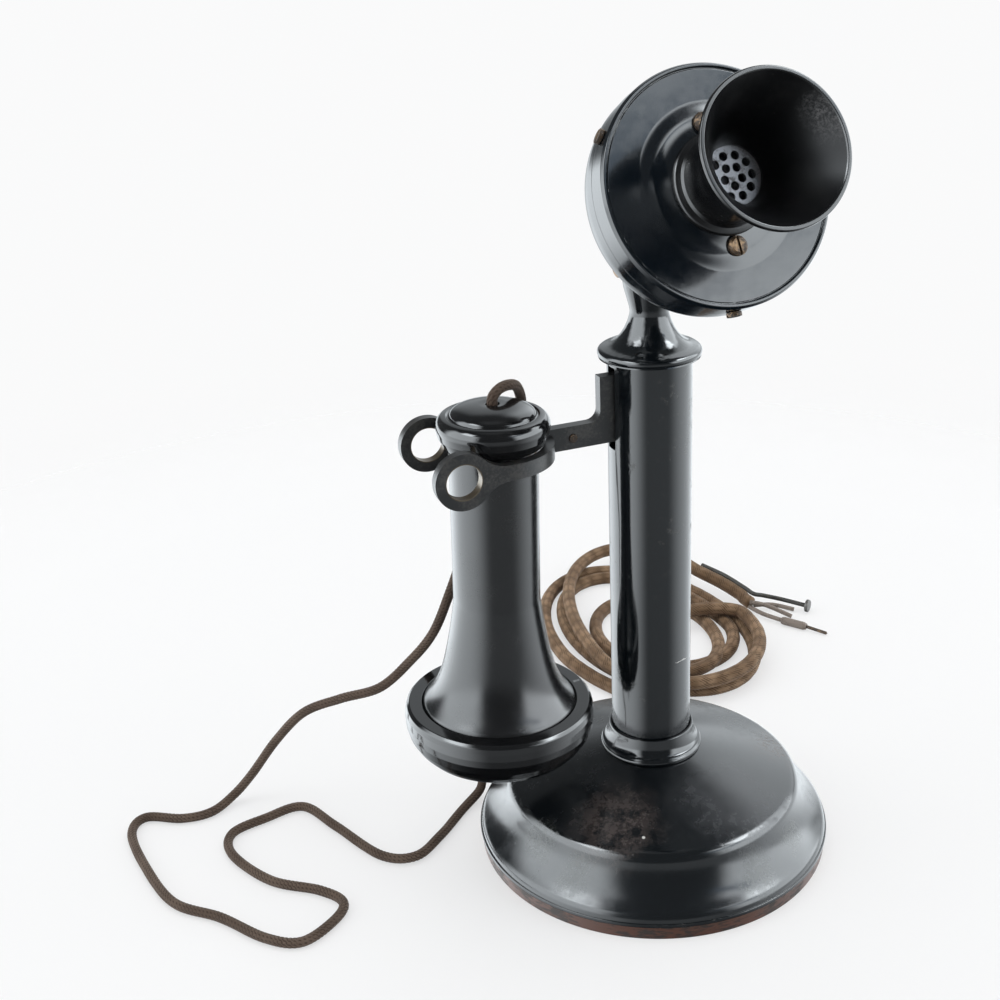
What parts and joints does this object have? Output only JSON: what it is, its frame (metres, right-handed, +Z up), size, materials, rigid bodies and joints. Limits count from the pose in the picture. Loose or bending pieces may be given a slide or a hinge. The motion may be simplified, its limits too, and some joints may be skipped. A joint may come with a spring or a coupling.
{
  "type": "candlestick desk telephone",
  "caption": "Upright desk telephone: round base and slim stem with a tilting mouthpiece, a receiver hung on a forked switch hook, and cloth-covered cords.",
  "frame": {"origin": "on the stem's axis, in the plane that the base stands on", "axes": "+Z up along the stem, -Y the way the mouthpiece faces, -X the side of the hook and receiver"},
  "size_m": [0.3537, 0.3183, 0.3024],
  "materials": {
    "black_japan": "gloss",
    "hook_iron": "matte",
    "ebonite": "satin",
    "grille_steel": "satin",
    "red_fibre": "matte",
    "felt": "matte",
    "aged_brass": "satin",
    "steel": "satin",
    "magnet_iron": "matte",
    "aluminium_sheet": "satin",
    "soft_rubber": "matte",
    "enamelled_wire": "satin",
    "receiver_braid": "matte",
    "desk_braid": "matte",
    "wire_cover": "matte"
  },
  "bodies": {
    "stand": {"base_shell": "black_japan", "base_ring": "red_fibre", "felt_pad": "felt", "bottom_plate": "steel", "bottom_screws": "aged_brass", "terminal_block": "red_fibre", "terminal_screws": "aged_brass", "receiver_cord_bushing": "soft_rubber", "desk_cord_bushing": "soft_rubber", "stem_foot": "black_japan", "stem_nut": "aged_brass", "stem_tube": "black_japan", "stem_cap": "black_japan", "switch_bracket": "aged_brass", "bracket_screw": "aged_brass", "hook_pivot_pin": "steel", "hook_spring": "steel", "spring_insulators": "red_fibre", "spring_screws": "aged_brass", "fixed_contacts": "aged_brass", "tilt_screw": "aged_brass", "tilt_nut": "aged_brass", "receiver_cord": "receiver_braid", "desk_cord_lead": "desk_braid", "desk_cord_coil": "desk_braid", "desk_cord_tail": "desk_braid", "conductors": "wire_cover", "conductor_tips": "aged_brass"},
    "hook": {"hook_lever": "hook_iron", "hook_rivet": "aged_brass", "lever_stud": "red_fibre"},
    "receiver": {"receiver_shell": "ebonite", "receiver_cap": "ebonite", "ear_cap": "ebonite", "receiver_diaphragm": "grille_steel", "receiver_magnet": "magnet_iron", "receiver_coils": "enamelled_wire", "receiver_terminals": "aged_brass"},
    "transmitter": {"transmitter_lug": "black_japan", "lug_screws": "aged_brass", "transmitter_cup": "black_japan", "faceplate": "black_japan", "rim_screws": "aged_brass", "face_screws": "aged_brass", "transmitter_bridge": "aged_brass", "carbon_button": "aged_brass", "diaphragm": "aluminium_sheet", "diaphragm_gasket": "soft_rubber", "damping_springs": "steel", "mouthpiece": "ebonite", "mouthpiece_grille": "grille_steel"},
    "contact": {"moving_contact": "aged_brass"}
  },
  "joints": [
    {"name": "hook_swing", "type": "hinge", "parent": "stand", "child": "hook", "pos_m": [-0.004, 0, 0.187], "axis": [0, 1, 0], "range_deg": [0, 9], "stiffness_Nm_per_rad": 0.19, "springref_deg": 24.06, "deforming": ["receiver_cord"]},
    {"name": "receiver_lift", "type": "slide", "parent": "hook", "child": "receiver", "axis": [-0.7071, 0, 0.7071], "range_m": [0, 0.14], "deforming": ["receiver_cord"]},
    {"name": "transmitter_tilt", "type": "hinge", "parent": "stand", "child": "transmitter", "pos_m": [0, 0, 0.232], "axis": [1, 0, 0], "range_deg": [-20, 35]},
    {"name": "contact_flex", "type": "hinge", "parent": "stand", "child": "contact", "pos_m": [0.0024, 0, 0.1238], "axis": [0, 1, 0], "range_deg": [-3.5, 0.2]}
  ],
  "couplings": [
    {"joint": "contact_flex", "follows": "hook_swing", "ratio": -0.364}
  ]
}
